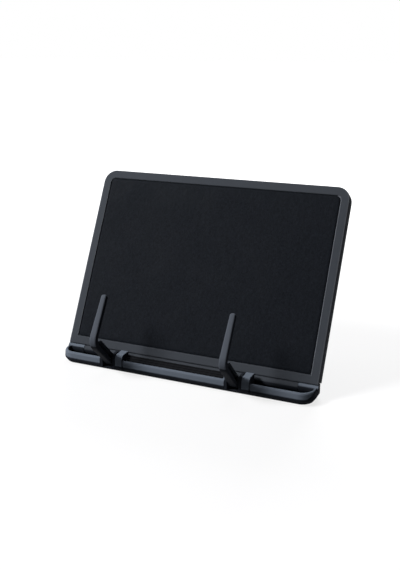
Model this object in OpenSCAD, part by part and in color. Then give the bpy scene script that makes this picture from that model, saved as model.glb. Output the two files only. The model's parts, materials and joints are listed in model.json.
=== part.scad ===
/* [Panel] */
// Width of the panel and of the base
panel_w = 300; // [260:1:340]
// Height of the panel's frame
panel_h = 213; // [204:1:240]
// Thickness of the panel
panel_t = 12; // [11:0.5:15]
// Lean of the panel back from upright, at rest
lean = 28; // [24:1:32]
// Radius of the panel's upper corners
panel_corner_r = 15; // [12:0.5:22]
// Radius of the panel's lower corners
panel_foot_r = 3; // [1:0.5:6]
// Width of the raised frame round the field
frame_w = 9.4; // [7:0.2:11]
// Thickness of the panel's outer walls
panel_wall = 2.4; // [2:0.1:3]
// Thickness of the textured field
field_t = 1.5; // [1:0.1:1.6]
// Thickness of the rear cover
cover_t = 2; // [1.6:0.1:2.4]

/* [Tilt hinge] */
// Height of the tilt axis over the table
tilt_z = 10.5; // [10.5:0.25:14]
// Radius of the panel's hinge barrel
barrel_r = 6.2; // [5.5:0.1:6.5]
// Width of each hinge knuckle on the base
knuckle_w = 21; // [16:1:28]
// Radius of each tilt pin
tilt_pin_r = 2; // [1.5:0.1:2.5]
// Length of each tilt pin
tilt_pin_l = 36; // [32:1:44]

/* [Base tray] */
// Distance of the tray's front edge ahead of the tilt axis
tray_front = 25; // [25:0.5:32]
// Height of the tray's rim
rim_h = 14.2; // [12:0.2:15]
// Radius of the tray's front corners
tray_corner_r = 16; // [14:0.5:20]
// Thickness of the tray's rim at its foot
rim_t = 4.4; // [4:0.1:5]
// Thickness of the tray's floor
floor_t = 1.6; // [1.4:0.1:2]
// Thickness of the plate under the tray
plate_t = 1.2; // [1:0.1:1.6]
// Ribs on the grip strip
grip_ribs = 4; // [3:1:5]
// Radius of each rib on the grip strip
grip_rib_r = 1; // [0.7:0.05:1.2]

/* [Page holders] */
// Place of the left holder across the base
left_x = -87; // [-100:1:-60]
// Place of the right holder across the base
right_x = 63.5; // [50:0.5:95]
// Width of a holder's hub
hub_w = 12.4; // [11:0.2:13]
// Radius of a holder's hub
hub_r = 5.8; // [5.6:0.1:6]
// Distance of the holder pins ahead of the tilt axis
hub_y = 16; // [16:0.25:17]
// Height of the holder pins over the table
hub_z = 10.6; // [10.6:0.1:11]
// Radius of each holder pin
pin_r = 1.5; // [1.2:0.1:1.8]
// Thickness of each cheek of a holder's bracket
cheek_t = 3; // [2.4:0.1:3.4]
// Height of a bracket's cheeks over the table
cheek_h = 22; // [19:0.5:24]
// Width of the post beside each bracket
post_w = 8.4; // [6:0.2:10]
// Height of the posts over the table
post_h = 20.5; // [18:0.5:23]
// Width of a finger at its tip
finger_w = 6.4; // [5:0.2:8]
// Depth of a finger
finger_d = 6.6; // [5.5:0.1:7.5]
// Radius of the bend at the elbow
elbow_r = 11; // [8:0.5:14]
// Turns of each holder spring
spring_turns = 3.5; // [2.5:1:3.5]
// Radius of the holder spring's wire
wire_r = 0.45; // [0.35:0.05:0.45]

/* [Rear leg] */
// Distance of the leg's hinge below the panel's top edge
leg_drop = 18.6; // [16.6:0.2:26]
// Lean of the open leg back from upright
leg_out = 8; // [6:0.5:11]
// Half width of the leg at its hinge
leg_half = 62; // [50:1:80]
// Half width of the leg at its foot
leg_foot_half = 50; // [40:1:62]
// Width of the leg's side rails
rail_w = 16; // [12:0.5:20]
// Thickness of the leg
leg_t = 5; // [4.4:0.1:5.4]
// Radius of the leg's hinge barrel
leg_barrel_r = 3.6; // [3.3:0.1:3.7]
// Radius of each leg pin
leg_pin_r = 1.25; // [1:0.05:1.5]
// Radius of the rubber foot
foot_r = 3.6; // [3.2:0.1:3.7]

/* [Hidden] */
$fn = 48;

// Clearances
fit_gap = 0.02;
run_gap = 0.06;
side_gap = 0.35;
seat_gap = 0.3;
hinge_gap = 0.4;

// Heights in the base, from the table up
pad_drop = 0.8;
plate_top = pad_drop + plate_t;
floor_top = plate_top + floor_t;
half_w = panel_w / 2;
tray_back = barrel_r + 0.5;
knuckle_foot = 4.4;
tray_back_r = 4;
tray_centre_y = -tray_front + tray_corner_r;
knuckle_x = half_w - knuckle_w;
barrel_half = knuckle_x - hinge_gap;

// Places across a bracket, from its middle
cheek_in = hub_w / 2 + side_gap;
cheek_out = cheek_in + cheek_t;
pocket_half = cheek_out + side_gap;
low_wall_t = 2.5;
post_out = pocket_half + post_w;
groove_w = 1.4;
groove_d = 1.8;
bracket_back = -8.2;
bracket_front = -tray_front + 0.6;
// The bracket's base drops through the floor, behind the rim, onto the plate
base_front = -tray_front + rim_t + 1.4;
base_top = hub_z - hub_r - 0.9;
holder_xs = [left_x, right_x];

// The grip strip fills the tray between the holders
grip_x0 = left_x + post_out + side_gap;
grip_x1 = right_x - pocket_half - low_wall_t - side_gap;
grip_front = -tray_front + rim_t + 0.8;

// Places through the panel's thickness, from the tilt axis, front positive
front_w = 7;
back_w = front_w - panel_t;
frame_rise = 1.8;
plate_front = front_w - frame_rise;
plate_back = plate_front - 1.8;
band_back = plate_back - 0.6;
band_w = frame_w + 0.9;
web_front = front_w - 1.4;
cover_front = back_w + cover_t;
corner_room = 1;

// Places up the panel, from the tilt axis: its housing starts above the knuckles,
// and the frame's lip hangs lower, ahead of them
room_r = tray_back + hinge_gap;
housing_v = room_r + 0.2;
lip_t = 0.9;
lip_v = round(10 * sqrt(pow(room_r, 2) - pow(front_w - lip_t, 2))) / 10;
top_v = lip_v + panel_h;

// The rear leg, whose length puts its foot on the table
leg_v = top_v - leg_drop;
leg_w = back_w + leg_barrel_r;
leg_axis_z = tilt_z + leg_v * cos(lean) + leg_w * sin(lean);
leg_l = (leg_axis_z - foot_r) / cos(leg_out);
leg_open = lean + leg_out;
leg_pin_l = 17;
recess_gap = 1;
recess_top = leg_v + leg_barrel_r + 4.9;
skirt_t = 1.6;
skirt_front = band_back - 0.2;
click_in = 22;
click_x = leg_half - click_in;
click_w = 8;
click_t = 0.5;
click_slope = 30;
nose_r = 0.9;
notch_r = 1.1;
notch_depth = 0.6;
click_step = 33;
click_angles = [0, leg_open, leg_open + click_step, leg_open + 2 * click_step];

// Screws
screw_r = 1.2;
head_r = 2.6;
head_t = 0.9;
head_proud = 0.4;
screw_boss_r = 3.2;
base_screw_l = 6.6;
panel_screw_l = 6.4;

plastic = [0.085, 0.095, 0.12];
plastic_soft = [0.12, 0.13, 0.155];
rubber = [0.05, 0.05, 0.055];
steel = [0.62, 0.63, 0.65];

function unit(v) = v / norm(v);

// Points of one rounded corner at p, between its neighbours a and b
function corner(p, a, b, r, n) =
  let (
    u = unit(a - p), v = unit(b - p), h = acos(u * v) / 2,
    c = p + unit(u + v) * r / sin(h),
    s = p + u * r / tan(h) - c, e = p + v * r / tan(h) - c,
    a0 = atan2(s[1], s[0]), turn = atan2(e[1], e[0]) - a0,
    d = turn > 180 ? turn - 360 : turn < -180 ? turn + 360 : turn
  )
  [for (k = [0:n]) c + r * [cos(a0 + d * k / n), sin(a0 + d * k / n)]];

// Outline through [x, y, corner radius] points
function rounded(pts, n = 5) =
  let (m = len(pts), xy = [for (p = pts) [p[0], p[1]]])
  [for (i = [0:m - 1]) each pts[i][2] == 0 ? [xy[i]] :
    corner(xy[i], xy[(i + m - 1) % m], xy[(i + 1) % m], pts[i][2], n)];

// Draws flat panel coordinates, x, up the panel, and out of its face, in place
module on_panel() {
  translate([0, 0, tilt_z]) rotate([90 - lean, 0, 0]) children();
}

// Extrudes a side profile, y and z, along x, centred at x
module side_profile(x, w) {
  translate([x - w / 2, 0, 0]) rotate([90, 0, 90]) linear_extrude(w) children();
}

// A cylinder along x from x0 to x1
module rod(x0, x1, r) {
  translate([x0, 0, 0]) rotate([0, 90, 0]) cylinder(h = x1 - x0, r = r);
}

// Tray

// Section of the rim: distance in from the outer edge, and height
function rim_section() = rounded([
  [3.4, pad_drop, 1], [0, 5.6, 3], [0.7, rim_h - 1.6, 1.6], [1.6, rim_h, 0.7],
  [rim_t - 0.8, rim_h, 0.6], [rim_t, rim_h - 1.4, 0], [rim_t + 0.8, pad_drop, 0]
], 4);

module rim() {
  section = rim_section();
  flat = half_w - tray_corner_r;
  side_profile(0, 2 * flat)
    polygon([for (p = section) [p[0] - tray_front, p[1]]]);
  for (s = [-1, 1]) {
    translate([s * flat, tray_centre_y, 0]) rotate([0, 0, s > 0 ? -90 : 180])
      rotate_extrude(angle = 90)
        polygon([for (p = section) [tray_corner_r - p[0], p[1]]]);
    translate([0, tray_back - tray_back_r, 0]) rotate([90, 0, 0])
      linear_extrude(tray_back - tray_back_r - tray_centre_y)
        polygon([for (p = section) [s * (half_w - p[0]), p[1]]]);
  }
}

// Outline of the tray in plan, drawn in by inset
function tray_plan(inset) = rounded([
  [-half_w + inset, -tray_front + inset, tray_corner_r - inset],
  [half_w - inset, -tray_front + inset, tray_corner_r - inset],
  [half_w - inset, tray_back, tray_back_r],
  [-half_w + inset, tray_back, tray_back_r]
], 8);

// Side profile of a knuckle: a round boss, undercut ahead of its foot
module knuckle_profile() {
  translate([0, tilt_z]) circle(tray_back);
  translate([-knuckle_foot, plate_top]) square([knuckle_foot + tray_back, tilt_z - plate_top]);
}

// A knuckle, whose outer end follows the tray's outline and its undercut
module knuckle(s) {
  top = tilt_z + tray_back + 1;
  intersection() {
    side_profile(s * (half_w - knuckle_w / 2), knuckle_w) knuckle_profile();
    linear_extrude(top) polygon(tray_plan(0));
    translate([0, tray_front, 0]) rotate([90, 0, 0]) linear_extrude(2 * tray_front)
      polygon(rounded([
        [0, plate_top, 0], [s * (half_w - 3.4), plate_top - plate_t, 1], [s * half_w, 5.6, 3],
        [s * half_w, top, 0], [0, top, 0]
      ], 4));
  }
}

// Side profile of the post beside a bracket
module post_profile() {
  polygon(rounded([
    [-tray_front + 0.2, 5.6, 0], [-tray_front + 0.5, post_h, 6],
    [bracket_back, post_h, 1], [bracket_back, plate_top, 0], [-tray_front + 4, plate_top, 0]
  ]));
}

// Screws under the knuckles, the posts and the grip strip
grip_screw_spots = [[grip_x0 + 14, -14], [grip_x1 - 10, -14]];
base_screw_spots = concat([
  [-half_w + knuckle_w / 2, 0], [half_w - knuckle_w / 2, 0],
  [left_x + pocket_half + post_w / 2, -13], [right_x + pocket_half + post_w / 2, -13]
], grip_screw_spots);
base_screw_z = pad_drop - head_proud;
base_screw_top = base_screw_z + base_screw_l;
boss_top = base_screw_top + 1;

module base_tray() {
  color(plastic) difference() {
    union() {
      difference() {
        union() {
          rim();
          translate([0, 0, plate_top]) linear_extrude(floor_t) polygon(tray_plan(3.2));
        }
        // Notches in the rim and pockets through the floor, for the brackets
        for (x = holder_xs) {
          translate([x - pocket_half, -tray_front - 1, floor_top])
            cube([2 * pocket_half, 10, rim_h]);
          translate([x - pocket_half, base_front - seat_gap, pad_drop])
            cube([2 * pocket_half, bracket_back - base_front + 2 * seat_gap, rim_h]);
          // Groove between the post and the rim
          translate([x + post_out, -tray_front - 1, 0]) cube([groove_w, 1 + groove_d, rim_h + 1]);
        }
      }
      for (s = [-1, 1]) knuckle(s);
      for (x = holder_xs) {
        side_profile(x + pocket_half + post_w / 2, post_w) post_profile();
        side_profile(x - pocket_half - low_wall_t / 2, low_wall_t)
          polygon(rounded([
            [-tray_front + 1.2, 8, 0], [-tray_front + 1.2, rim_h, 1.2],
            [bracket_back, rim_h, 2], [bracket_back, plate_top, 0], [-tray_front + 4, plate_top, 0]
          ]));
      }
      for (p = grip_screw_spots)
        translate([p[0], p[1], plate_top]) cylinder(h = boss_top - plate_top, r = screw_boss_r);
    }
    // Bores for the tilt pins
    translate([0, 0, tilt_z]) for (s = [-1, 1])
      rod(s > 0 ? knuckle_x - 1 : -half_w - 1, s > 0 ? half_w + 1 : -knuckle_x + 1,
        tilt_pin_r + fit_gap);
    // Bores for the holder pins, through the low wall and into the post
    for (x = holder_xs)
      translate([0, -hub_y, hub_z])
        rod(x - pocket_half - low_wall_t - 1, x + post_out - 1.5, pin_r + fit_gap);
    for (p = base_screw_spots)
      translate([p[0], p[1], pad_drop])
        cylinder(h = base_screw_top + 0.4 - pad_drop, r = screw_r + run_gap);
  }
}

foot_pads = [[-100, 36], [0, 60], [100, 36]];
pad_y0 = -15;
pad_y1 = 3;

module pad_shape(w, grow) {
  polygon(rounded([
    [-w / 2 - grow, pad_y0 - grow, 3], [w / 2 + grow, pad_y0 - grow, 3],
    [w / 2 + grow, pad_y1 + grow, 3], [-w / 2 - grow, pad_y1 + grow, 3]
  ]));
}

module base_bottom_plate() {
  color(plastic_soft) difference() {
    translate([0, 0, pad_drop]) linear_extrude(plate_t) polygon(tray_plan(rim_t + 1.3));
    for (f = foot_pads)
      translate([f[0], 0, pad_drop - 1]) linear_extrude(1.6) pad_shape(f[1], 0.2);
    for (p = base_screw_spots) translate([p[0], p[1], 0]) {
      cylinder(h = 4, r = screw_r + 0.15);
      cylinder(h = base_screw_z + head_t, r = head_r + 0.2);
    }
  }
}

module base_feet() {
  color(rubber) for (f = foot_pads)
    translate([f[0], 0, 0]) linear_extrude(pad_drop + 0.6) pad_shape(f[1], 0);
}

module screw(l) {
  difference() {
    union() {
      cylinder(h = head_t, r = head_r);
      cylinder(h = l, r = screw_r);
    }
    for (a = [0, 90]) rotate([0, 0, a]) translate([-1.4, -0.3, -1]) cube([2.8, 0.6, 1.5]);
  }
}

module base_screws() {
  color(steel) for (p = base_screw_spots) translate([p[0], p[1], base_screw_z]) screw(base_screw_l);
}

// Side profile of the grip strip, whose ribs climb from the rim towards the panel
function grip_profile() =
  let (
    low = rim_h - 3.2, rise = 4.6, run = bracket_back - grip_front,
    slope = atan(rise / run), step = (run - 2.4 * grip_rib_r) / (grip_ribs - 1)
  )
  concat(
    [[grip_front, floor_top + fit_gap], [grip_front, low]],
    [for (k = [0:grip_ribs - 1]) let (d = 1.2 * grip_rib_r + k * step)
      each [for (a = [180:-22.5:0])
        [grip_front + d, low + d * rise / run] + grip_rib_r * [cos(a + slope), sin(a + slope)]]],
    [[bracket_back, low + rise], [bracket_back, floor_top + fit_gap]]
  );

module grip_strip() {
  color(rubber) difference() {
    side_profile((grip_x0 + grip_x1) / 2, grip_x1 - grip_x0) polygon(grip_profile());
    for (p = grip_screw_spots)
      translate([p[0], p[1], 0]) cylinder(h = boss_top + seat_gap, r = screw_boss_r + seat_gap);
  }
}

module tilt_pin(s) {
  end = half_w - 0.6;
  color(steel) translate([0, 0, tilt_z])
    rod(s > 0 ? end - tilt_pin_l : -end, s > 0 ? end : -end + tilt_pin_l, tilt_pin_r);
}

// Page holders

// Side profile of a bracket's cheek
module cheek_profile() {
  polygon(rounded([
    [base_front, plate_top + fit_gap, 0], [base_front, floor_top + fit_gap, 0],
    [bracket_front, floor_top + fit_gap, 0], [bracket_front, 13, 4],
    [-hub_y - 5, cheek_h, 4], [bracket_back, cheek_h - 2, 5], [bracket_back, plate_top + fit_gap, 0]
  ]));
}

module bracket(x) {
  color(plastic) difference() {
    union() {
      for (s = [-1, 1]) side_profile(x + s * (cheek_in + cheek_t / 2), cheek_t) cheek_profile();
      translate([x - cheek_out, base_front, plate_top + fit_gap])
        cube([2 * cheek_out, bracket_back - base_front, base_top - plate_top - fit_gap]);
    }
    translate([0, -hub_y, hub_z]) rod(x - cheek_out - 1, x + cheek_out + 1, pin_r + fit_gap);
    // Hole for the spring's fixed end
    translate([x + cheek_in - 1, -hub_y, hub_z + spring_r]) rod(0, 3.2, wire_r + 0.2);
  }
}

module holder_pin(x) {
  color(steel) translate([0, -hub_y, hub_z])
    rod(x - pocket_half - low_wall_t, x + post_out - 2, pin_r);
}

spring_r = pin_r + 1.7;
spring_x0 = 0.7;
spring_x1 = hub_w / 2 - wire_r - 0.15;
spring_cup_r = spring_r + wire_r + 0.5;
spring_tail = 1.6;

// The wire's middle line: a tail, the turns, and the other tail
function spring_path() =
  let (n = 8, steps = spring_turns * n, start = 90 - 360 * spring_turns)
  concat(
    [[spring_x0 - spring_tail, spring_r * cos(start), spring_r * sin(start)]],
    [for (k = [0:steps]) let (a = start + 360 * k / n)
      [spring_x0 + (spring_x1 - spring_x0) * k / steps, spring_r * cos(a), spring_r * sin(a)]],
    [[spring_x1 + spring_tail + 0.2, 0, spring_r]]
  );

// Rings of a tube round a path, each square to the path there
function tube_rings(path, r, sides) =
  let (m = len(path))
  [for (i = [0:m - 1])
    let (
      t = unit(path[min(i + 1, m - 1)] - path[max(i - 1, 0)]),
      out = [0, path[i][1], path[i][2]],
      b = unit(cross(t, out)), c = cross(b, t)
    )
    [for (k = [0:sides - 1]) let (a = 360 * k / sides)
      path[i] + r * (cos(a) * c + sin(a) * b)]];

// Closed skin over rings of equal count
module skin(rings) {
  m = len(rings);
  s = len(rings[0]);
  points = [for (ring = rings) each ring];
  sides = [for (i = [0:m - 2], k = [0:s - 1])
    let (a = i * s + k, b = i * s + (k + 1) % s, c = a + s, d = b + s)
    each [[a, b, d], [a, d, c]]];
  first = [for (k = [1:s - 2]) [0, k + 1, k]];
  last = [for (k = [1:s - 2]) let (o = (m - 1) * s) [o, o + k, o + k + 1]];
  polyhedron(points = points, faces = concat(sides, first, last));
}

module holder_spring(x) {
  gap = (spring_x1 - spring_x0) / spring_turns - 2 * wire_r;
  echo(least_gap_between_spring_turns = gap);
  color(steel) translate([x, -hub_y, hub_z]) skin(tube_rings(spring_path(), wire_r, 6));
}

// Middle line of a holder's bar: tip, elbow and foot
tip = [-25.2, 86.8];
elbow = [-54, 43.2];
bar_foot = [-hub_y - 3.4, hub_z - 2.4];
foot_d = 4.4;
foot_w = 8.8;
elbow_w = 8.4;

// A point of the bar's middle line: [y, z, direction], from the tip down
function bar_line() =
  let (
    up = unit(tip - elbow), down = unit(bar_foot - elbow),
    half = acos(up * down) / 2, back = elbow_r / tan(half),
    c = elbow + unit(up + down) * elbow_r / sin(half),
    s = elbow + up * back - c, turn = 180 - 2 * half,
    a0 = atan2(s[1], s[0])
  )
  concat(
    [for (k = [0:3]) let (q = tip + (elbow + up * back - tip) * k / 4)
      [q[0], q[1], atan2(-up[1], -up[0])]],
    [for (k = [0:8]) let (a = a0 + turn * k / 8)
      [c[0] + elbow_r * cos(a), c[1] + elbow_r * sin(a), a + 90]],
    [for (k = [1:4]) let (q = elbow + down * back + (bar_foot - elbow - down * back) * k / 4)
      [q[0], q[1], atan2(down[1], down[0])]]
  );

// A rounded rectangle of the bar, w across and d deep, square to the line at p
function bar_ring(p, w, d, along = 0) =
  let (
    r = min(w, d) * 0.24,
    flat = rounded([[-w / 2, -d / 2, r], [w / 2, -d / 2, r], [w / 2, d / 2, r], [-w / 2, d / 2, r]], 2),
    t = [cos(p[2]), sin(p[2])], nrm = [-t[1], t[0]]
  )
  [for (q = flat) [q[0], p[0] + nrm[0] * q[1] + t[0] * along, p[1] + nrm[1] * q[1] + t[1] * along]];

// Width and depth of the bar at height z
function bar_width(z) = z > elbow[1]
  ? finger_w + (elbow_w - finger_w) * (tip[1] - z) / (tip[1] - elbow[1])
  : elbow_w + (foot_w - elbow_w) * (elbow[1] - z) / (elbow[1] - bar_foot[1]);
function bar_depth(z) = z > elbow[1] ? finger_d
  : finger_d + (foot_d - finger_d) * (elbow[1] - z) / (elbow[1] - bar_foot[1]);

module holder_bar() {
  line = bar_line();
  cap = [for (a = [80, 55, 28])
    bar_ring(line[0], finger_w * cos(a), finger_d * cos(a), -finger_w / 2 * sin(a))];
  skin(concat(cap, [for (p = line) bar_ring(p, bar_width(p[1]), bar_depth(p[1]))]));
}

// The gusset behind the elbow: a thin web with flanges on its back and top
spur = [-41, 42.8];
flange_t = 1.9;
flange_w = 6.4;
web_t = 2.4;

module gusset_shape() {
  polygon(rounded([
    [elbow[0] + 4, spur[1] + 0.6, 0], [spur[0], spur[1], 1.4], [-hub_y + 5.2, hub_z + 1.5, 0],
    [-hub_y, hub_z, 0], [elbow[0] + 1.5, elbow[1] - 3, 0]
  ]));
}

module gusset_pocket() {
  back = unit([-hub_y + 5.2, hub_z + 1.5] - spur);
  in = [back[1], -back[0]];
  top = spur + [0, -flange_t] + in * flange_t;
  polygon(rounded([
    [elbow[0] + 2, top[1] + 0.4, 0], [top[0] - 0.4, top[1], 1],
    [top[0] + back[0] * 32, top[1] + back[1] * 32, 0],
    [-hub_y - 9, hub_z + 2, 0], [elbow[0] - 2, elbow[1] - 6, 0]
  ]));
}

module holder(x) {
  color(plastic_soft) difference() {
    union() {
      translate([x, 0, 0]) holder_bar();
      side_profile(x, web_t) gusset_shape();
      side_profile(x, flange_w) difference() {
        gusset_shape();
        gusset_pocket();
      }
      translate([x, -hub_y, hub_z]) rod(-hub_w / 2, hub_w / 2, hub_r);
    }
    translate([x, -hub_y, hub_z]) {
      rod(-hub_w, hub_w, pin_r + run_gap);
      // Cup and hole for the spring
      rod(0, hub_w, spring_cup_r);
      rotate([90 - 360 * spring_turns - 90, 0, 0]) translate([-spring_tail - 0.4, 0, spring_r])
        rod(0, spring_tail + 1, wire_r + 0.2);
    }
  }
}

// Panel

// Section of the frame's band: distance in from the edge, and place through the panel
function frame_section() = rounded([
  [0, band_back, 0], [0, front_w, 1.6], [frame_w, front_w, 0.8], [band_w, plate_front, 0],
  [band_w, band_back, 0]
], 4);

// One straight side of the band, from x0 to x1, its edge on y = 0, mitred at its ends
module frame_side(x0, x1, mitre0, mitre1) {
  intersection() {
    translate([x0, 0, 0]) rotate([90, 0, 90]) linear_extrude(x1 - x0) polygon(frame_section());
    translate([0, 0, back_w - 1]) linear_extrude(panel_t + 2) polygon([
      [x0, 0], [x1, 0], [x1 - (mitre1 ? band_w : 0), band_w], [x0 + (mitre0 ? band_w : 0), band_w]
    ]);
  }
}

function panel_plan(inset, foot_r, low = lip_v) = rounded([
  [-half_w + inset, low + inset, foot_r], [half_w - inset, low + inset, foot_r],
  [half_w - inset, top_v - inset, panel_corner_r - inset],
  [-half_w + inset, top_v - inset, panel_corner_r - inset]
], 8);

// The housing's walls, solid in its lower corners, ahead of the rear cover
module housing_walls() {
  corner_w = band_w + 1;
  corner_back = cover_front + corner_room;
  translate([0, 0, back_w]) linear_extrude(plate_back - back_w) difference() {
    polygon(panel_plan(0, 0, housing_v));
    polygon(panel_plan(panel_wall, 0, housing_v));
  }
  for (s = [-1, 1])
    translate([s * (half_w - corner_w / 2) - corner_w / 2, housing_v, corner_back])
      cube([corner_w, lip_v + corner_w - housing_v, plate_back - corner_back]);
}

module frame_rim() {
  difference() {
    intersection() {
      union() {
        housing_walls();
        translate([0, lip_v, 0]) frame_side(-half_w, half_w, true, true);
        translate([0, top_v, 0]) rotate([0, 0, 180])
          frame_side(-half_w + panel_corner_r, half_w - panel_corner_r, false, false);
        translate([half_w, 0, 0]) rotate([0, 0, 90])
          frame_side(lip_v, top_v - panel_corner_r, true, false);
        translate([-half_w, 0, 0]) rotate([0, 0, -90])
          frame_side(-top_v + panel_corner_r, -lip_v, false, true);
        for (s = [0, 1])
          translate([(s == 0 ? 1 : -1) * (half_w - panel_corner_r), top_v - panel_corner_r, 0])
            rotate([0, 0, s * 90]) rotate_extrude(angle = 90)
              polygon([for (p = frame_section()) [panel_corner_r - p[0], p[1]]]);
      }
      translate([0, 0, back_w - 1]) linear_extrude(panel_t + 2) polygon(panel_plan(0, panel_foot_r));
    }
    // Room for the knuckles
    rod(-half_w - 1, half_w + 1, room_r);
  }
}

screw_in = 14;
screw_by_leg = 18;
panel_screw_spots = [for (s = [-1, 1]) each [
  [s * (half_w - screw_in), housing_v + screw_in],
  [s * (half_w - screw_in), (housing_v + top_v) / 2],
  [s * (half_w - screw_in), top_v - screw_in],
  [s * (leg_half + screw_by_leg), housing_v + screw_in],
  [s * (leg_half + screw_by_leg), top_v - screw_in]
]];

// Stiffening ribs behind the panel's plate, seen through the leg
rib_t = 1.4;
rib_step = 26;
rib_rows = 5;
rib_foot_room = 40;
rib_leg_room = 30;
rib_low = housing_v + rib_foot_room;
rib_high = leg_v - rib_leg_room;

module panel_frame() {
  rib_rise = (rib_high - rib_low - rib_t) / (rib_rows - 1);
  color(plastic) on_panel() difference() {
    union() {
      frame_rim();
      translate([0, 0, plate_back]) linear_extrude(plate_front - plate_back)
        polygon(panel_plan(frame_w - 1, 0));
      // Barrel and the web that carries it
      rod(-barrel_half, barrel_half, barrel_r);
      translate([-barrel_half, 0, back_w]) cube([2 * barrel_half, housing_v + 0.5, web_front - back_w]);
      for (k = [-1:1]) translate([k * rib_step - rib_t / 2, rib_low, 0])
        cube([rib_t, rib_high - rib_low, plate_back + 0.1]);
      for (k = [0:rib_rows - 1]) translate([-rib_step, rib_low + k * rib_rise, 0])
        cube([2 * rib_step, rib_t, plate_back + 0.1]);
      for (p = panel_screw_spots) translate([p[0], p[1], cover_front + 0.02])
        cylinder(h = plate_back - cover_front, r = 3.2);
    }
    for (s = [-1, 1])
      rod(s > 0 ? barrel_half - 24 : -barrel_half - 1, s > 0 ? barrel_half + 1 : -barrel_half + 24,
        tilt_pin_r + run_gap);
    for (p = panel_screw_spots) translate([p[0], p[1], cover_front - 1])
      cylinder(h = panel_screw_l - cover_t + 1.3, r = screw_r + 0.05);
    // Scoop in the lower wall, to reach the folded leg
    translate([0, housing_v - 1, back_w - 6]) rotate([-90, 0, 0]) cylinder(h = panel_wall + 1.2, r = 14);
  }
}

module panel_field() {
  inset = band_w + seat_gap;
  color([0.1, 0.11, 0.14]) on_panel() translate([0, 0, plate_front + 0.02])
    linear_extrude(field_t) polygon(panel_plan(inset, 1));
}

// Outline of the leg's recess, grown by g
function recess_plan(g) =
  let (
    slope = (leg_half - leg_foot_half) / (leg_l - 6),
    top = leg_half + recess_gap + g, drop = recess_top - housing_v - panel_wall + 2
  )
  [
    [-top, recess_top + g], [top, recess_top + g],
    [top - slope * drop, recess_top - drop], [-top + slope * drop, recess_top - drop]
  ];

function cover_plan() = panel_plan(panel_wall + 0.2, 2, housing_v);

module rear_cover() {
  boss_r = leg_barrel_r;
  color(plastic) on_panel() difference() {
    union() {
      translate([0, 0, back_w]) linear_extrude(cover_t) polygon(cover_plan());
      intersection() {
        translate([0, 0, back_w]) linear_extrude(skirt_front - back_w) polygon(recess_plan(skirt_t));
        translate([0, 0, back_w]) linear_extrude(panel_t) polygon(cover_plan());
      }
      // Bosses that hold the leg's pins
      translate([0, leg_v, leg_w]) for (s = [-1, 1])
        rod(s > 0 ? leg_half + recess_gap : -leg_half - 9, s > 0 ? leg_half + 9 : -leg_half - recess_gap,
          boss_r);
    }
    translate([0, 0, back_w - 1]) linear_extrude(panel_t) polygon(recess_plan(0));
    translate([0, leg_v, leg_w]) rod(-leg_half - 8, leg_half + 8, leg_pin_r + fit_gap);
    for (p = panel_screw_spots) translate([p[0], p[1], 0]) {
      translate([0, 0, back_w - 1]) cylinder(h = 4, r = screw_r + 0.15);
      translate([0, 0, back_w - 1]) cylinder(h = head_t + 1.1, r = head_r + 0.2);
    }
  }
}

module panel_screws() {
  color(steel) on_panel() for (p = panel_screw_spots)
    translate([p[0], p[1], back_w + 0.1]) screw(panel_screw_l);
}

// A bent strip whose nose rests in a notch of the leg's barrel
module click_spring(s) {
  top = recess_top - leg_v - seat_gap / 2;
  nose = leg_barrel_r - notch_depth + seat_gap / 2;
  // A pointed strip, drawn in by t, whose corners are rounded to r and whose nose to nose_r
  module strip(t, r) {
    point = nose - nose_r * (1 / sin(click_slope) - 1) + t / sin(click_slope);
    half = (top - t - point) * tan(click_slope);
    polygon(rounded([[top - t, -half, r], [top - t, half, r], [point, 0, nose_r - t]]));
  }
  color(steel) on_panel() translate([s * click_x, leg_v, leg_w])
    side_profile(0, click_w) difference() {
      strip(0, 0.7);
      strip(click_t, 0.3);
    }
}

// Leg

module leg_pose() {
  on_panel() translate([0, leg_v, leg_w]) rotate([leg_open, 0, 0]) children();
}

leg_end = leg_l - 9;
blade_t = 2.6;
bead_r = 2;
sleeve_half = leg_foot_half - 4;

module rear_leg() {
  slope = (leg_half - leg_foot_half) / (leg_l - 6);
  in = leg_half - rail_w;
  color(plastic_soft) leg_pose() difference() {
    union() {
      rod(-leg_half, leg_half, leg_barrel_r);
      translate([0, 0, -leg_t / 2]) linear_extrude(leg_t) difference() {
        polygon(rounded([
          [-leg_half, 0, 0], [leg_half, 0, 0],
          [leg_half - slope * leg_end, -leg_end, 7], [-leg_half + slope * leg_end, -leg_end, 7]
        ]));
        polygon(rounded([
          [-in + slope * 14, -14, 7], [in - slope * 14, -14, 7],
          [in - slope * (leg_end - 18), -leg_end + 18, 7], [-in + slope * (leg_end - 18), -leg_end + 18, 7]
        ]));
      }
      translate([-sleeve_half, -leg_l, -blade_t / 2]) cube([2 * sleeve_half, 12, blade_t]);
      translate([0, -leg_l, 0]) rod(-sleeve_half, sleeve_half, bead_r);
    }
    for (s = [-1, 1]) {
      rod(s > 0 ? leg_half - 12 : -leg_half - 1, s > 0 ? leg_half + 1 : -leg_half + 12,
        leg_pin_r + run_gap);
      // Notches of the click hinge
      for (a = click_angles) rotate([-a, 0, 0])
        translate([s * click_x, leg_barrel_r - notch_depth + notch_r, 0])
          rod(-click_w / 2 - seat_gap, click_w / 2 + seat_gap, notch_r);
    }
  }
}

module leg_pin(s) {
  end = leg_half + 7.6;
  color(steel) on_panel() translate([0, leg_v, leg_w])
    rod(s > 0 ? end - leg_pin_l : -end, s > 0 ? end : -end + leg_pin_l, leg_pin_r);
}

module leg_foot() {
  color(rubber) leg_pose() translate([0, -leg_l, 0]) difference() {
    rod(-sleeve_half, sleeve_half, foot_r);
    rod(-leg_half, leg_half, bead_r + fit_gap);
    translate([-leg_half, 0, -blade_t / 2 - fit_gap]) cube([2 * leg_half, 9, blade_t + 2 * fit_gap]);
  }
}

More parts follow.
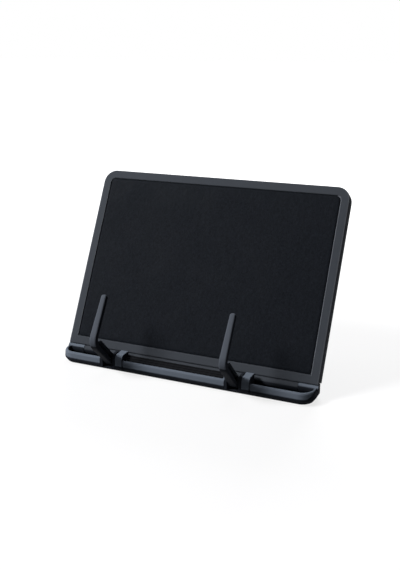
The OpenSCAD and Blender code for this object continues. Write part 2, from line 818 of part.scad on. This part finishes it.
base_tray();
base_bottom_plate();
base_feet();
base_screws();
grip_strip();
tilt_pin(-1);  // tilt_pin_left
tilt_pin(1);  // tilt_pin_right
bracket(left_x);  // bracket_left
bracket(right_x);  // bracket_right
holder_pin(left_x);  // holder_pin_left
holder_pin(right_x);  // holder_pin_right
holder_spring(left_x);  // holder_spring_left
holder_spring(right_x);  // holder_spring_right
holder(left_x);  // holder_left
holder(right_x);  // holder_right
panel_frame();
panel_field();
rear_cover();
panel_screws();
click_spring(-1);  // click_spring_left
click_spring(1);  // click_spring_right
rear_leg();
leg_pin(-1);  // leg_pin_left
leg_pin(1);  // leg_pin_right
leg_foot();
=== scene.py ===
import json
import math

import bmesh
import bpy
from mathutils import Matrix, Vector, noise


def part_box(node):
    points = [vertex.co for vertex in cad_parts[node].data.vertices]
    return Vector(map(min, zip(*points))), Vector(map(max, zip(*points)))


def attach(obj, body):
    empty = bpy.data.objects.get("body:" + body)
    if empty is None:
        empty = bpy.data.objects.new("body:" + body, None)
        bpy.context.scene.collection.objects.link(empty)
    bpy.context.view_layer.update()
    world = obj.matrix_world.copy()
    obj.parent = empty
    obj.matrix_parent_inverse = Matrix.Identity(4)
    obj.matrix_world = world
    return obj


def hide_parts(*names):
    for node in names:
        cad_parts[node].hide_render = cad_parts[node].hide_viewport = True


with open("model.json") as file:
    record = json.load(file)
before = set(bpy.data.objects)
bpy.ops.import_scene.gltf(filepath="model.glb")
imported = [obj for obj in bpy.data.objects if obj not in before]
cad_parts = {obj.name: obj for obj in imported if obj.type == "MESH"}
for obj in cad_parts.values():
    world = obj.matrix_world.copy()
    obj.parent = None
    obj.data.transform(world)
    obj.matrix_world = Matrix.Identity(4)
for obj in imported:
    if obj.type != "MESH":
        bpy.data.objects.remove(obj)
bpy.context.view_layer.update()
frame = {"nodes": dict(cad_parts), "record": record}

MM = 0.001

# The panel's lean at rest, and the height of its tilt axis
LEAN = math.radians(28)
TILT_Z = 10.5 * MM


# Node helpers

class Graph:
    """The nodes of one material or world, with short calls to add and join them."""

    def __init__(self, owner, output="ShaderNodeOutputMaterial"):
        owner.use_nodes = True
        self.owner = owner
        self.tree = owner.node_tree
        self.tree.nodes.clear()
        self.out = self.add(output)

    def add(self, kind, inputs=None, **settings):
        node = self.tree.nodes.new(kind)
        for key, value in settings.items():
            setattr(node, key, value)
        for key, value in (inputs or {}).items():
            self.put(node, key, value)
        return node

    def put(self, node, key, value):
        if isinstance(value, bpy.types.NodeSocket):
            self.tree.links.new(value, node.inputs[key])
        else:
            node.inputs[key].default_value = value

    def place(self):
        return self.add("ShaderNodeTexCoord").outputs["Object"]

    def vector_maths(self, operation, a, b=None):
        inputs = {0: a} if b is None else {0: a, 1: b}
        return self.add("ShaderNodeVectorMath", inputs, operation=operation)

    def noise(self, scale, detail=2.0, rough=0.5, distort=0.0, stretch=None):
        """Noise with features of about 1 / scale metres."""
        at = self.place()
        if stretch:
            at = self.vector_maths("MULTIPLY", at, stretch).outputs[0]
        settings = {"Vector": at, "Scale": scale, "Detail": detail}
        settings.update({"Roughness": rough, "Distortion": distort})
        return self.add("ShaderNodeTexNoise", settings).outputs["Fac"]

    def cells(self, scale):
        """Soft-edged cells, about 1 / scale metres wide."""
        settings = {"Vector": self.place(), "Scale": scale}
        return self.add("ShaderNodeTexVoronoi", settings, feature="SMOOTH_F1").outputs[0]

    def span(self, value, low, high, to_low=0.0, to_high=1.0):
        """Maps low on to to_low and high on to to_high, and stays at those beyond them."""
        settings = {"Value": value, "From Min": low, "From Max": high}
        settings.update({"To Min": to_low, "To Max": to_high})
        return self.add("ShaderNodeMapRange", settings, clamp=True).outputs[0]

    def axes(self):
        return self.add("ShaderNodeSeparateXYZ", {"Vector": self.place()}).outputs

    def maths(self, operation, a, b=0.0):
        return self.add("ShaderNodeMath", {0: a, 1: b}, operation=operation).outputs[0]

    def mix(self, factor, a, b):
        """A blend of two colours, which a Mix node has as its inputs 6 and 7 and its output 2."""
        node = self.add("ShaderNodeMix", data_type="RGBA")
        self.put(node, 0, factor)
        self.put(node, 6, a)
        self.put(node, 7, b)
        return node.outputs[2]

    def bump(self, height, distance, strength=1.0, normal=None):
        settings = {"Height": height, "Distance": distance, "Strength": strength}
        if normal is not None:
            settings["Normal"] = normal
        return self.add("ShaderNodeBump", settings).outputs[0]

    def soft_normal(self, radius):
        """A normal that rounds every sharp edge."""
        return self.add("ShaderNodeBevel", {"Radius": radius}, samples=8).outputs[0]

    def edge_mask(self, soft):
        """1 on the edges that soft_normal rounds."""
        flat = self.add("ShaderNodeNewGeometry").outputs["Normal"]
        alike = self.vector_maths("DOT_PRODUCT", soft, flat).outputs["Value"]
        return self.span(alike, 0.99, 0.8)

    def show(self, shader):
        """Joins the finished shader to the output, and gives the material or world."""
        self.tree.links.new(shader.outputs[0], self.out.inputs["Surface"])
        return self.owner

    def surface(self, **sockets):
        """Shows a Principled shader. Base_Color is its socket Base Color, and so on."""
        inputs = {key.replace("_", " "): value for key, value in sockets.items()}
        return self.show(self.add("ShaderNodeBsdfPrincipled", inputs))


def material_graph(name):
    return Graph(bpy.data.materials.new(name))


def rgb(r, g, b):
    return (r, g, b, 1.0)


# Materials

# So low because black plastic turns grey where it mirrors the white surroundings at a flat angle
PLASTIC_GLOSS = 0.02
PLASTIC_EDGE_R = 0.45 * MM
CASE_GRAIN = 0.22 * MM
ARM_GRAIN = 0.3 * MM

# Painted shade: the two near-black shades painted where shade falls on side walls and low parts, the y
# between which the painted shade's upper limit goes over from its front height to its inside height, and
# how softly that limit ends
PAINTED_SHADE_COLOURS = (rgb(0.010, 0.012, 0.016), rgb(0.016, 0.018, 0.023))
SHADE_FRONT_Y = -22 * MM
SHADE_INSIDE_Y = -13 * MM
SHADE_FADE = 1.2 * MM

# How far sideways a surface faces where the painted highlight of a side edge, or the painted shade of a
# side wall, begins, and where it is full
HIGHLIGHT_FACING = (0.1, 0.35)
SHADED_SIDE_WALL = (0.72, 0.92)


def sideways(g):
    """How far the surface faces left or right, from 0 to 1."""
    facing = g.add("ShaderNodeTexCoord").outputs["Normal"]
    return g.maths("ABSOLUTE", g.add("ShaderNodeSeparateXYZ", {"Vector": facing}).outputs[0])


def painted_shade_zones(g, front, inside):
    """Painted shade: 1 on walls that face left or right, and on all below a height: front at the front,
    inside behind it.

    The zones paint the shade that these walls and low parts fall in, placed to give the main view its
    pattern of light and dark. They are no real finish.
    """
    y, z = g.axes()[1:3]
    height = g.span(y, SHADE_FRONT_Y, SHADE_INSIDE_Y, front, inside)
    low = g.span(g.maths("SUBTRACT", z, height), 0, SHADE_FADE, 1, 0)
    return g.maths("MAXIMUM", low, g.span(sideways(g), *SHADED_SIDE_WALL))


def moulded_plastic(name, colours, roughness, grain, dark=None, edge_highlight=None):
    """Black plastic with a fine moulded grain, faint flow marks and lighter edges.

    Colours are the plastic's own and that of its edges. Dark gives the two heights below which shade is
    painted near black.
    The last argument is the colour of a painted highlight on the round edges that lead to the side walls.
    """
    g = material_graph(name)
    soft = g.soft_normal(PLASTIC_EDGE_R)
    flow = g.noise(38, 3, 0.55, 0.4)
    dust = g.noise(900, 2, 0.7)
    worn = g.maths("MULTIPLY", g.edge_mask(soft), g.span(g.noise(160, 3), 0.35, 0.7))
    base = g.mix(g.span(flow, 0.3, 0.7, 0, 0.35), *colours)
    base = g.mix(g.maths("MULTIPLY", worn, 0.55), base, colours[1])
    # Painted highlight: the round edges that turn to the side walls get a lighter colour
    if edge_highlight:
        base = g.mix(g.span(sideways(g), *HIGHLIGHT_FACING), base, edge_highlight)
    # Painted shade: side walls and all below the given heights turn near black
    if dark:
        black = g.mix(g.span(flow, 0.35, 0.65), *PAINTED_SHADE_COLOURS)
        base = g.mix(painted_shade_zones(g, *dark), base, black)
    rough = g.maths("ADD", g.span(flow, 0.3, 0.75, roughness - 0.04, roughness + 0.05),
                    g.span(dust, 0.55, 0.8, 0, 0.08))
    normal = g.bump(g.cells(1 / grain), 0.012 * MM, 0.8, soft)
    normal = g.bump(flow, 0.08 * MM, 0.5, normal)
    return g.surface(Base_Color=base, Roughness=rough, Normal=normal, Specular_IOR_Level=PLASTIC_GLOSS)


def grained_field():
    """The sunk field: a wavy, leather-like moulded grain."""
    g = material_graph("field_plastic")
    waves = g.noise(520, 4, 0.6, 1.4, (1.0, 1.0, 0.45))
    pits = g.cells(950)
    broad = g.noise(22, 3, 0.5, 0.8)
    base = g.mix(g.span(waves, 0.35, 0.7), rgb(0.004, 0.005, 0.007), rgb(0.009, 0.011, 0.015))
    rough = g.span(broad, 0.3, 0.7, 0.58, 0.66)
    normal = g.bump(waves, 0.16 * MM, 0.75, g.soft_normal(0.35 * MM))
    normal = g.bump(pits, 0.03 * MM, 0.5, normal)
    return g.surface(Base_Color=base, Roughness=rough, Normal=normal, Specular_IOR_Level=0.03)


def soft_rubber():
    """Dull black rubber with a fine speck, a faint bloom and slightly greyer edges."""
    g = material_graph("black_rubber")
    soft = g.soft_normal(0.5 * MM)
    speck = g.noise(2600, 2, 0.6)
    bloom = g.noise(60, 4, 0.6)
    base = g.mix(g.span(bloom, 0.4, 0.75, 0, 0.6), rgb(0.006, 0.0065, 0.008), rgb(0.012, 0.0125, 0.014))
    base = g.mix(g.maths("MULTIPLY", g.edge_mask(soft), 0.4), base, rgb(0.022, 0.023, 0.026))
    rough = g.span(bloom, 0.3, 0.8, 0.72, 0.88)
    normal = g.bump(speck, 0.03 * MM, 0.7, soft)
    return g.surface(Base_Color=base, Roughness=rough, Normal=normal, Specular_IOR_Level=0.04)


def drawn_steel(name, roughness):
    """Steel wire, pins and strip, with fine lines along x."""
    g = material_graph(name)
    lines = g.noise(320, 3, 0.6, 0.0, (1.0, 22.0, 22.0))
    haze = g.noise(240, 3)
    base = g.mix(g.span(haze, 0.35, 0.7), rgb(0.26, 0.265, 0.28), rgb(0.38, 0.385, 0.4))
    rough = g.span(lines, 0.3, 0.7, roughness - 0.06, roughness + 0.1)
    return g.surface(Base_Color=base, Metallic=1.0, Roughness=rough, Normal=g.bump(lines, 0.006 * MM, 0.6))


# Each plastic's colour, and the colour of its edges. The tray's is a lighter copy of the black plastic: a
# painted sheen for its lit rim front.
CASE_COLOURS = (rgb(0.044, 0.049, 0.058), rgb(0.056, 0.063, 0.074))
TRAY_SHEEN_COLOURS = (rgb(0.11, 0.129, 0.16), rgb(0.13, 0.152, 0.185))
ARM_COLOURS = (rgb(0.068, 0.077, 0.094), rgb(0.082, 0.092, 0.111))
LEG_COLOURS = (rgb(0.022, 0.026, 0.033), rgb(0.032, 0.037, 0.046))
# The colour of the painted highlight on the panel's round side edges
PANEL_EDGE_HIGHLIGHT = rgb(0.13, 0.14, 0.158)

BLACK = moulded_plastic("case_plastic", CASE_COLOURS, 0.7, CASE_GRAIN)
# Painted shade below these heights: the tray's lower front and channel, the panel's foot, the holders' bars
# below the elbow and the brackets
TRAY = moulded_plastic("tray_plastic", TRAY_SHEEN_COLOURS, 0.7, CASE_GRAIN, (7.1 * MM, 13.4 * MM))
PANEL = moulded_plastic("panel_plastic", CASE_COLOURS, 0.7, CASE_GRAIN, (11.5 * MM, 11.5 * MM),
                        PANEL_EDGE_HIGHLIGHT)
ARM = moulded_plastic("arm_plastic", ARM_COLOURS, 0.62, ARM_GRAIN, (39.0 * MM, 39.0 * MM))
LEG = moulded_plastic("leg_plastic", LEG_COLOURS, 0.62, ARM_GRAIN)
FIELD = grained_field()
RUBBER = soft_rubber()
STEEL = drawn_steel("pin_steel", 0.3)
SPRING = drawn_steel("spring_steel", 0.22)

# Nodes with a material of their own in place of their slot's: painted shade on the tray, panel and
# brackets, a painted sheen on the tray and a painted highlight on the panel's side edges
NODE_MATERIALS = {
    "base_tray": TRAY,
    "panel_frame": PANEL,
    "bracket_left": ARM,
    "bracket_right": ARM,
    "rear_leg": LEG,
}

SLOT_MATERIALS = {
    "black_plastic": BLACK,
    "arm_plastic": ARM,
    "textured_field": FIELD,
    "rubber": RUBBER,
    "steel": STEEL,
    "spring_steel": SPRING,
}


def dress_nodes():
    """Gives each CAD node its own material, or else its slot's."""
    for part in frame["record"]["subparts"]:
        name = part["node"]
        materials = frame["nodes"][name].data.materials
        materials.clear()
        materials.append(NODE_MATERIALS.get(name) or SLOT_MATERIALS[part["material_slot"]])


# Mesh helpers

SHARP_ANGLE = math.radians(35)


def mesh_piece(name, mesh, material, body, slot, *replaced):
    """Puts a finished mesh in the scene as a piece that stands for CAD nodes."""
    piece = bpy.data.objects.new(name, mesh)
    bpy.context.scene.collection.objects.link(piece)
    mesh.shade_smooth()
    mesh.set_sharp_from_angle(angle=SHARP_ANGLE)
    mesh.materials.clear()
    mesh.materials.append(material)
    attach(piece, body)
    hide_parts(*replaced)


def mesh_from(name, bm):
    """Turns an edited mesh into a finished one, with its faces outward."""
    bmesh.ops.recalc_face_normals(bm, faces=bm.faces)
    mesh = bpy.data.meshes.new(name)
    bm.to_mesh(mesh)
    bm.free()
    return mesh


def loft(name, rings):
    """Closed skin over rings of equal count."""
    bm = bmesh.new()
    loops = [[bm.verts.new(p) for p in ring] for ring in rings]
    for low, high in zip(loops, loops[1:]):
        for k in range(len(low)):
            after = (k + 1) % len(low)
            bm.faces.new((low[k], low[after], high[after], high[k]))
    bm.faces.new(loops[0])
    bm.faces.new(reversed(loops[-1]))
    return mesh_from(name, bm)


def rounded(corners, steps=6):
    """Outline through (a, b, radius) corners, each turned into an arc."""
    points = []
    for k, (a, b, radius) in enumerate(corners):
        here = Vector((a, b))
        if radius == 0:
            points.append(here)
            continue
        to_last = (Vector(corners[k - 1][:2]) - here).normalized()
        to_next = (Vector(corners[(k + 1) % len(corners)][:2]) - here).normalized()
        half = to_last.angle(to_next) / 2
        centre = here + (to_last + to_next).normalized() * radius / math.sin(half)
        start = here + to_last * radius / math.tan(half) - centre
        turn = start.angle_signed(here + to_next * radius / math.tan(half) - centre)
        for i in range(steps + 1):
            angle = -turn * i / steps
            points.append(centre + Vector((start.x * math.cos(angle) - start.y * math.sin(angle),
                                           start.x * math.sin(angle) + start.y * math.cos(angle))))
    return points


def prism(name, outline, x0, x1):
    """A side outline of (y, z) points, drawn out along x."""
    return loft(name, [[(x, p[0], p[1]) for p in outline] for x in (x0, x1)])


def lathe_x(name, centre, profile, steps=64):
    """A closed turned part along x, from (x, radius) points, with its axis through centre = (y, z)."""
    def ring(x, radius):
        angles = [2 * math.pi * k / steps for k in range(steps)]
        return [(x, centre[0] + radius * math.cos(a), centre[1] + radius * math.sin(a)) for a in angles]
    return loft(name, [ring(x, radius) for x, radius in profile])


def carve(name, start, steps):
    """Joins meshes to start, or cuts them from it: steps holds ("UNION" or "DIFFERENCE", mesh) pairs."""
    for operation, tool_mesh in steps:
        target = bpy.data.objects.new(name, start)
        tool = bpy.data.objects.new(name + "_tool", tool_mesh)
        for thing in (target, tool):
            bpy.context.scene.collection.objects.link(thing)
        cut = target.modifiers.new("cut", "BOOLEAN")
        cut.operation = operation
        cut.solver = "EXACT"
        cut.object = tool
        bpy.context.view_layer.update()
        done = target.evaluated_get(bpy.context.evaluated_depsgraph_get())
        start = bpy.data.meshes.new_from_object(done)
        bpy.data.objects.remove(target)
        bpy.data.objects.remove(tool)
    return start


# Page holders, in millimetres, seen from the side as (y, z)
TIP = Vector((-25.2, 86.8))
ELBOW = Vector((-54.0, 43.2))
FOOT = Vector((-19.4, 8.2))
SPUR = Vector((-41.0, 42.8))
HUB = Vector((-16.0, 10.6))

# The hub, its pin's bore, its spring's cup, and the blind hole below the axis for the spring's leg
HUB_R = 5.8
HUB_HALF = 6.2
HUB_EDGE = 0.35
BORE_R = 1.56
CUP_R = 4.15
WIRE_HOLE_R = 0.65
WIRE_HOLE_DROP = 3.2
WIRE_HOLE_DEPTH = 2

# How far a cutter reaches past the hub's end, and past the cup's floor
PAST_HUB = 2
PAST_FLOOR = 0.6

# The bar's widths along x, its depths square to that, and the radius of its middle line in the bend
FINGER_W = 6.4
ELBOW_W = 8.4
FOOT_W = 8.8
FINGER_D = 6.5
FOOT_D = 4.4
BEND_R = 11.0

# Rings along each straight and round the bend, angles of the rings of the domed tip, and the radius of the
# bar's corners as a share of its thinner side
STRAIGHT_STEPS = 10
BEND_STEPS = 14
TIP_DEGREES = (87, 78, 66, 54, 42, 30, 16)
BAR_CORNER = 0.27

# The web behind the elbow, its flange, the flange's lower end on the hub, and how far the cut under it goes
WEB_T = 2.4
FLANGE_T = 1.9
FLANGE_W = 6.4
HEEL = (HUB.x + 5.2, HUB.y + 1.5)
POCKET_REACH = 32

# After the cuts, points nearer together than this are joined
WELD = 0.002


def bar_line():
    """The bar's middle line from tip to foot: pairs of a point and the way that it runs."""
    up = (TIP - ELBOW).normalized()
    down = (FOOT - ELBOW).normalized()
    half = up.angle(down) / 2
    back = BEND_R / math.tan(half)
    centre = ELBOW + (up + down).normalized() * BEND_R / math.sin(half)
    start, end = ELBOW + up * back, ELBOW + down * back
    line = [(TIP.lerp(start, k / STRAIGHT_STEPS), -up) for k in range(STRAIGHT_STEPS)]
    for k in range(BEND_STEPS + 1):
        out = (start - centre).normalized().slerp((end - centre).normalized(), k / BEND_STEPS)
        line.append((centre + out * BEND_R, (-up).slerp(down, k / BEND_STEPS)))
    return line + [(end.lerp(FOOT, k / STRAIGHT_STEPS), down) for k in range(1, STRAIGHT_STEPS + 1)]


def bar_size(z):
    """Width and depth of the bar at height z."""
    if z > ELBOW.y:
        share = (TIP.y - z) / (TIP.y - ELBOW.y)
        return FINGER_W + (ELBOW_W - FINGER_W) * share, FINGER_D
    share = (ELBOW.y - z) / (ELBOW.y - FOOT.y)
    return ELBOW_W + (FOOT_W - ELBOW_W) * share, FINGER_D + (FOOT_D - FINGER_D) * share


def bar_ring(point, way, width, depth):
    """The bar's round-cornered section at a point, square to the way that it runs."""
    radius = min(width, depth) * BAR_CORNER
    corners = [(-width / 2, -depth / 2, radius), (width / 2, -depth / 2, radius),
               (width / 2, depth / 2, radius), (-width / 2, depth / 2, radius)]
    across = Vector((-way.y, way.x))
    places = [(x, point + across * d) for x, d in rounded(corners, 5)]
    return [(x, p.x, p.y) for x, p in places]


def holder_bar():
    """The bent bar, with a domed tip."""
    line = bar_line()
    tip, way = line[0]
    cap = []
    for angle in map(math.radians, TIP_DEGREES):
        cap.append(bar_ring(tip - way * FINGER_W / 2 * math.sin(angle), way,
                            FINGER_W * math.cos(angle), FINGER_D * math.cos(angle)))
    return loft("bar", cap + [bar_ring(p, w, *bar_size(p.y)) for p, w in line])


def gusset_outline():
    """Side outline of the web and its flange: elbow, spur, heel on the hub, hub and back to the elbow."""
    return rounded([(ELBOW.x + 4, SPUR.y + 0.6, 0), (SPUR.x, SPUR.y, 1.4), (*HEEL, 0),
                    (HUB.x, HUB.y, 0), (ELBOW.x + 1.5, ELBOW.y - 3, 0)])


def gusset_pocket():
    """What is cut from the flange's block to leave a strip FLANGE_T thick along its upper edge."""
    back = (Vector(HEEL) - SPUR).normalized()
    top = SPUR + Vector((back.y, -back.x)) * FLANGE_T - Vector((0, FLANGE_T))
    far = top + back * POCKET_REACH
    return rounded([(ELBOW.x + 2, top.y + 0.4, 0), (top.x - 0.4, top.y, 1), (far.x, far.y, 0),
                    (HUB.x - 9, HUB.y + 2, 0), (ELBOW.x - 2, ELBOW.y - 6, 0)])


def hub_mesh():
    """The hub, with round edges."""
    inner = 0.3 * HUB_EDGE
    half = [(HUB_HALF - HUB_EDGE, HUB_R), (HUB_HALF - inner, HUB_R - inner), (HUB_HALF, HUB_R - HUB_EDGE)]
    return lathe_x("hub", HUB, [(-x, radius) for x, radius in reversed(half)] + half)


def hub_cuts():
    """Cutters for the spring's cup, the pin's bore and the blind hole that takes the spring's leg."""
    end = HUB_HALF + PAST_HUB
    wire_axis = (HUB.x, HUB.y - WIRE_HOLE_DROP)
    wire_profile = [(-WIRE_HOLE_DEPTH, WIRE_HOLE_R), (PAST_FLOOR, WIRE_HOLE_R)]
    return [
        ("DIFFERENCE", lathe_x("cup", HUB, [(0, CUP_R), (end, CUP_R)], 48)),
        ("DIFFERENCE", lathe_x("bore", HUB, [(-end, BORE_R), (end, BORE_R)], 40)),
        ("DIFFERENCE", lathe_x("wire_hole", wire_axis, wire_profile, 20)),
    ]


def holder_mesh():
    """A page holder: a bent bar with a flanged web behind its elbow, on a hub with a spring cup."""
    pocket = prism("pocket", gusset_pocket(), -FLANGE_W, FLANGE_W)
    block = prism("flange", gusset_outline(), -FLANGE_W / 2, FLANGE_W / 2)
    mesh = carve("holder", holder_bar(), [
        ("UNION", prism("web", gusset_outline(), -WEB_T / 2, WEB_T / 2)),
        ("UNION", carve("flange", block, [("DIFFERENCE", pocket)])),
        ("UNION", hub_mesh()),
    ] + hub_cuts())
    bm = bmesh.new()
    bm.from_mesh(mesh)
    bmesh.ops.remove_doubles(bm, verts=bm.verts, dist=WELD)
    bmesh.ops.scale(bm, vec=(MM, MM, MM), verts=bm.verts)
    return mesh_from("holder", bm)


def make_holders():
    """Both page holders, each at the middle of its CAD node."""
    shape = holder_mesh()
    for side in ("left", "right"):
        node = "holder_" + side
        low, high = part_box(node)
        mesh = shape.copy()
        mesh.transform(Matrix.Translation(((low.x + high.x) / 2, 0, 0)))
        mesh_piece("page_holder_" + side, mesh, ARM, side + "_holder", "arm_plastic", node)


# The sunk field, and the grid, corner radii and relief of its skin
FIELD_COLUMNS = 200
FIELD_ROWS = 138
FIELD_TOP_R = 4.4 * MM
FIELD_LOW_R = 1.0 * MM
GRAIN_DEPTH = 0.28 * MM
EDGE_WIDTH = 1.2 * MM
EDGE_DROP = 0.45 * MM


def panel_frame_point(x, up, out):
    """A point given across the panel, up it, and out of its face, both from the tilt axis."""
    return (x, up * math.sin(LEAN) - out * math.cos(LEAN),
            TILT_Z + up * math.cos(LEAN) + out * math.sin(LEAN))


def panel_extent(node):
    """Lowest and highest (across, up, out) of a CAD node on the panel."""
    points = []
    for vert in frame["nodes"][node].data.vertices:
        x, y, z = vert.co
        z -= TILT_Z
        up = y * math.sin(LEAN) + z * math.cos(LEAN)
        out = -y * math.cos(LEAN) + z * math.sin(LEAN)
        points.append((x, up, out))
    return [min(axis) for axis in zip(*points)], [max(axis) for axis in zip(*points)]


def into_corner(a, b, half_a, half_b, radius):
    """Draws a point of a rectangle's corner in to a round corner."""
    over_a, over_b = abs(a) - (half_a - radius), abs(b) - (half_b - radius)
    if over_a <= 0 or over_b <= 0:
        return a, b
    share = max(over_a, over_b) / math.hypot(over_a, over_b)
    return (math.copysign(half_a - radius + over_a * share, a),
            math.copysign(half_b - radius + over_b * share, b))


def field_relief(x, up):
    """Depth of the leather-like grain, from 0 to 1, in long shallow waves up the field."""
    warp = noise.noise(Vector((x * 60, up * 40, 3.0)))
    ridge = abs(noise.noise(Vector((x * 300 + warp * 1.5, up * 120, 0.0))))
    small = noise.noise(Vector((x * 520, up * 420, 7.0)))
    return min(1.0, max(0.0, 1.1 * ridge + 0.25 * small))


def field_grid(bm, low, high):
    """Points of the field's face in columns, with its grain, round corners and rolled edge."""
    half_x, half_up = high[0], (high[1] - low[1]) / 2
    middle = (high[1] + low[1]) / 2
    grid = []
    for i in range(FIELD_COLUMNS + 1):
        a = half_x * (2 * i / FIELD_COLUMNS - 1)
        column = []
        for j in range(FIELD_ROWS + 1):
            b = half_up * (2 * j / FIELD_ROWS - 1)
            x, up = into_corner(a, b, half_x, half_up, FIELD_TOP_R if b > 0 else FIELD_LOW_R)
            inside = min(half_x - abs(a), half_up - abs(b))
            roll = EDGE_DROP * max(0.0, 1 - inside / EDGE_WIDTH) ** 2
            grain = GRAIN_DEPTH * field_relief(a, b) * min(1.0, inside / EDGE_WIDTH)
            column.append(bm.verts.new(panel_frame_point(x, middle + up, high[2] - roll - grain)))
        grid.append(column)
    return grid


def grid_rim(grid):
    """The grid's outer points, in order round it."""
    columns, rows = len(grid) - 1, len(grid[0]) - 1
    foot = [grid[i][0] for i in range(columns)]
    right = [grid[columns][j] for j in range(rows)]
    top = [grid[i][rows] for i in range(columns, 0, -1)]
    left = [grid[0][j] for j in range(rows, 0, -1)]
    return foot + right + top + left


def make_field():
    """The textured field: a closed skin with its grain in the mesh."""
    low, high = panel_extent("panel_field")
    bm = bmesh.new()
    grid = field_grid(bm, low, high)
    for near, far in zip(grid, grid[1:]):
        for j in range(FIELD_ROWS):
            bm.faces.new((near[j], far[j], far[j + 1], near[j + 1]))
    rim = grid_rim(grid)
    on_back = Vector(panel_frame_point(0, 0, low[2]))
    out = Vector(panel_frame_point(0, 0, 1)) - Vector(panel_frame_point(0, 0, 0))
    back_rim = [bm.verts.new(vert.co - out * (vert.co - on_back).dot(out)) for vert in rim]
    for k in range(len(rim)):
        after = (k + 1) % len(rim)
        bm.faces.new((rim[k], rim[after], back_rim[after], back_rim[k]))
    bm.faces.new(back_rim)
    skin = mesh_from("grained_field", bm)
    mesh_piece("grained_field", skin, FIELD, "panel", "textured_field", "panel_field")


# Stage

FLOOR_HALF = 12.0
FLOOR_CELLS = 24

# Distances from the middle between which the floor's glow rises, and its strength there
GLOW_REACH = (0.3, 1.1)
GLOW = (0.76, 1.0)

# What the world gives to rays that white_for_view leaves out
WORLD_LIGHT = 0.05


def white_for_view(g, strength):
    """Strength for camera, glossy and transmission rays, and 0 for others."""
    path = g.add("ShaderNodeLightPath")
    seen = g.maths("MAXIMUM", path.outputs["Is Camera Ray"], path.outputs["Is Glossy Ray"])
    seen = g.maths("MAXIMUM", seen, path.outputs["Is Transmission Ray"])
    return g.maths("MULTIPLY", seen, strength)


def floor_material():
    """Grey under the lamps, so that a shadow falls on it, and lit to white where it is seen."""
    g = material_graph("pale_floor")
    diffuse = g.add("ShaderNodeBsdfDiffuse", {"Color": rgb(0.2, 0.2, 0.204)})
    reach = g.vector_maths("LENGTH", g.place()).outputs["Value"]
    white = white_for_view(g, g.span(reach, *GLOW_REACH, *GLOW))
    glow = g.add("ShaderNodeEmission", {"Color": rgb(1, 1, 1), "Strength": white})
    both = g.add("ShaderNodeAddShader")
    g.tree.links.new(diffuse.outputs[0], both.inputs[0])
    g.tree.links.new(glow.outputs[0], both.inputs[1])
    return g.show(both)


def make_floor():
    """A wide flat floor, no part of the object."""
    bm = bmesh.new()
    bmesh.ops.create_grid(bm, x_segments=FLOOR_CELLS, y_segments=FLOOR_CELLS, size=FLOOR_HALF)
    mesh = bpy.data.meshes.new("floor")
    bm.to_mesh(mesh)
    bm.free()
    floor = bpy.data.objects.new("floor", mesh)
    bpy.context.scene.collection.objects.link(floor)
    mesh.materials.append(floor_material())


def make_world():
    """White where it is seen or mirrored, and a faint light for the rest."""
    g = Graph(bpy.data.worlds.new("studio"), "ShaderNodeOutputWorld")
    strength = g.maths("MAXIMUM", white_for_view(g, 1.0), WORLD_LIGHT)
    background = g.add("ShaderNodeBackground", {"Color": rgb(1, 1, 1), "Strength": strength})
    bpy.context.scene.world = g.show(background)


def area_light(name, place, aim, size, watts):
    """A rectangular lamp at place, turned to aim."""
    data = bpy.data.lights.new(name, "AREA")
    data.shape = "RECTANGLE"
    data.size, data.size_y = size
    data.energy = watts
    light = bpy.data.objects.new(name, data)
    light.location = place
    light.rotation_euler = (Vector(aim) - Vector(place)).to_track_quat("-Z", "Y").to_euler()
    bpy.context.scene.collection.objects.link(light)


def make_lights():
    area_light("key", (-1.3, -0.9, 1.4), (0.0, 0.0, 0.08), (0.7, 0.5), 58)
    area_light("top", (-0.3, 0.3, 1.9), (0.0, 0.0, 0.1), (1.2, 1.0), 6)
    area_light("back", (-0.25, 1.5, 0.95), (0.0, 0.0, 0.08), (1.0, 0.7), 40)


# Camera, fitted to the photograph's 400 by 570 frame
CAMERA_TURN = math.radians(23.8)
CAMERA_PITCH = math.radians(17.5)
CAMERA_DISTANCE = 0.8236
CAMERA_TARGET = Vector((16.8, -2.7, 107.8)) * MM
FOCAL_PIXELS = 780
FRAME_HEIGHT_PIXELS = 570


def make_camera():
    data = bpy.data.cameras.new("view")
    data.sensor_fit = "VERTICAL"
    data.sensor_height = 36
    data.lens = data.sensor_height * FOCAL_PIXELS / FRAME_HEIGHT_PIXELS
    data.clip_start = 0.01
    back = Vector((math.sin(CAMERA_TURN) * math.cos(CAMERA_PITCH),
                   -math.cos(CAMERA_TURN) * math.cos(CAMERA_PITCH), math.sin(CAMERA_PITCH)))
    camera = bpy.data.objects.new("view", data)
    camera.location = CAMERA_TARGET + back * CAMERA_DISTANCE
    camera.rotation_euler = back.to_track_quat("Z", "Y").to_euler()
    bpy.context.scene.collection.objects.link(camera)
    bpy.context.scene.camera = camera


dress_nodes()
make_holders()
make_field()
make_floor()
make_world()
make_lights()
make_camera()
bpy.context.scene.view_settings.view_transform = "Standard"
